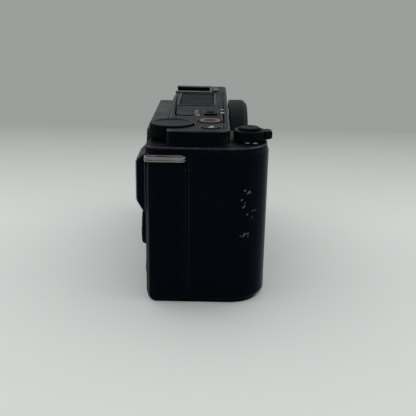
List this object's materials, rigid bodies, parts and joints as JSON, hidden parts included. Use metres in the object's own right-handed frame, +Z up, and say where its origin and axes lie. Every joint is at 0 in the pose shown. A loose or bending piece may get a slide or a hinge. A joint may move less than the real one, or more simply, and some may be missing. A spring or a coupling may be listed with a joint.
{
  "type": "compact mirrorless camera",
  "caption": "Compact black interchangeable-lens camera with deep hand grip, swing-out monitor, top dials and buttons, accessory shoe and a body cap over the lens mount.",
  "frame": {"origin": "on the base's resting face, half-way along the body's width and 10 mm behind its front wall", "axes": "+X from the grip end to the jack end, -Y towards what is pictured (lens side), +Y the monitor side, +Z up"},
  "size_m": [0.123, 0.047, 0.0627],
  "materials": {
    "shell": "fine-textured black moulded shell",
    "control": "satin black moulded controls",
    "grip": "fine diamond-textured black rubber",
    "cap": "satin black plastic",
    "steel": "satin metal",
    "dark_metal": "blackened metal",
    "red": "dull red plastic",
    "screen": "dark glossy display cover",
    "sensor_glass": "clear filter glass",
    "board": "solder-mask green",
    "inner_plastic": "plain moulded plastic",
    "gold": "plated"
  },
  "bodies": {
    "body": {"front_cover": "shell", "rear_cover": "shell", "top_cover": "shell", "base_plate": "shell", "grip_skin": "grip", "thumb_rest": "grip", "strap_lug_near": "steel", "strap_lug_far": "steel", "lens_mount_ring": "steel", "mount_screw_1": "dark_metal", "mount_screw_2": "dark_metal", "mount_screw_3": "dark_metal", "mount_screw_4": "dark_metal", "front_chassis": "dark_metal", "shutter_unit": "dark_metal", "sensor_glass": "sensor_glass", "sensor_package": "gold", "sensor_plate": "steel", "main_board": "board", "top_board": "board", "jack_board": "board", "record_lamp": "red", "mic_grille": "dark_metal", "microphone_block": "inner_plastic", "shoe_floor": "dark_metal", "shoe_rails": "dark_metal", "screen_hinge_pin": "steel", "battery": "inner_plastic", "battery_case": "inner_plastic", "card_slot": "steel", "memory_card": "inner_plastic", "tripod_socket": "steel", "mic_jack": "inner_plastic", "headphone_jack": "inner_plastic", "charging_socket": "steel", "video_socket": "steel"},
    "shutter_button": {"shutter_button": "control"},
    "zoom_lever": {"zoom_lever": "control"},
    "control_dial": {"control_dial": "control"},
    "power_switch": {"power_switch": "control"},
    "custom_button": {"custom_button": "control"},
    "record_button": {"record_button": "control"},
    "mode_button": {"mode_button": "control"},
    "lens_release": {"lens_release_button": "control"},
    "lens_lock_pin": {"lens_lock_pin": "steel"},
    "body_cap": {"body_cap": "cap"},
    "monitor": {"monitor_frame": "shell", "monitor_panel": "screen", "monitor_glass": "screen", "screen_hinge": "dark_metal"},
    "control_wheel": {"control_wheel": "control"},
    "centre_button": {"centre_button": "control"},
    "menu_button": {"menu_button": "control"},
    "function_button": {"function_button": "control"},
    "playback_button": {"playback_button": "control"},
    "delete_button": {"delete_button": "control"},
    "battery_door": {"battery_door": "shell"},
    "door_latch": {"door_latch": "control"},
    "mic_door": {"mic_door": "grip"},
    "port_door": {"port_door": "grip"}
  },
  "joints": [
    {"name": "shutter_press", "type": "slide", "parent": "body", "child": "shutter_button", "axis": [0, 0, -1], "range_m": [0, 0.0009], "stiffness_N_per_m": 400},
    {"name": "zoom_turn", "type": "hinge", "parent": "body", "child": "zoom_lever", "pos_m": [-0.0426, -0.0169, 0.0592], "axis": [0, 0, 1], "range_deg": [-25, 25], "stiffness_Nm_per_rad": 0.004},
    {"name": "dial_turn", "type": "hinge", "parent": "body", "child": "control_dial", "pos_m": [-0.0398, 0.011, 0.06], "axis": [0, 0, 1], "continuous": true},
    {"name": "power_slide", "type": "slide", "parent": "body", "child": "power_switch", "axis": [1, 0, 0], "range_m": [0, 0.0039]},
    {"name": "custom_press", "type": "slide", "parent": "body", "child": "custom_button", "axis": [0, 0, -1], "range_m": [0, 0.0008], "stiffness_N_per_m": 400},
    {"name": "record_press", "type": "slide", "parent": "body", "child": "record_button", "axis": [0, 0, -1], "range_m": [0, 0.0008], "stiffness_N_per_m": 400},
    {"name": "mode_press", "type": "slide", "parent": "body", "child": "mode_button", "axis": [0, 0, -1], "range_m": [0, 0.0008], "stiffness_N_per_m": 400},
    {"name": "release_press", "type": "slide", "parent": "body", "child": "lens_release", "axis": [0, 1, 0], "range_m": [0, 0.0012], "stiffness_N_per_m": 400},
    {"name": "lock_pin_retract", "type": "slide", "parent": "body", "child": "lens_lock_pin", "axis": [0, 1, 0], "range_m": [0, 0.0012]},
    {"name": "cap_twist", "type": "hinge", "parent": "body", "child": "body_cap", "pos_m": [0.0115, -0.0142, 0.0315], "axis": [0, -1, 0], "range_deg": [0, 60]},
    {"name": "monitor_swing", "type": "hinge", "parent": "body", "child": "monitor", "pos_m": [0.0553, 0.0186, 0.026], "axis": [0, 0, -1], "range_deg": [0, 176]},
    {"name": "wheel_turn", "type": "hinge", "parent": "body", "child": "control_wheel", "pos_m": [-0.0462, 0.0195, 0.0254], "axis": [0, 1, 0], "continuous": true},
    {"name": "centre_press", "type": "slide", "parent": "body", "child": "centre_button", "axis": [0, -1, 0], "range_m": [0, 0.0005], "stiffness_N_per_m": 400},
    {"name": "menu_press", "type": "slide", "parent": "body", "child": "menu_button", "axis": [0, -1, 0], "range_m": [0, 0.0006], "stiffness_N_per_m": 400},
    {"name": "function_press", "type": "slide", "parent": "body", "child": "function_button", "axis": [0, -1, 0], "range_m": [0, 0.0006], "stiffness_N_per_m": 400},
    {"name": "playback_press", "type": "slide", "parent": "body", "child": "playback_button", "axis": [0, -1, 0], "range_m": [0, 0.0006], "stiffness_N_per_m": 400},
    {"name": "delete_press", "type": "slide", "parent": "body", "child": "delete_button", "axis": [0, -1, 0], "range_m": [0, 0.0006], "stiffness_N_per_m": 400},
    {"name": "battery_door_swing", "type": "hinge", "parent": "body", "child": "battery_door", "pos_m": [-0.0065, 0, 0.00025], "axis": [0, -1, 0], "range_deg": [0, 95]},
    {"name": "latch_slide", "type": "slide", "parent": "battery_door", "child": "door_latch", "axis": [1, 0, 0], "range_m": [0, 0.003]},
    {"name": "mic_door_swing", "type": "hinge", "parent": "body", "child": "mic_door", "pos_m": [0.0576, 0.003, 0.04], "axis": [0, 0, 1], "range_deg": [0, 110]},
    {"name": "port_door_swing", "type": "hinge", "parent": "body", "child": "port_door", "pos_m": [0.0576, 0.003, 0.0185], "axis": [0, 0, 1], "range_deg": [0, 110]}
  ],
  "couplings": [
    {"joint": "lock_pin_retract", "follows": "release_press", "ratio": 1}
  ]
}
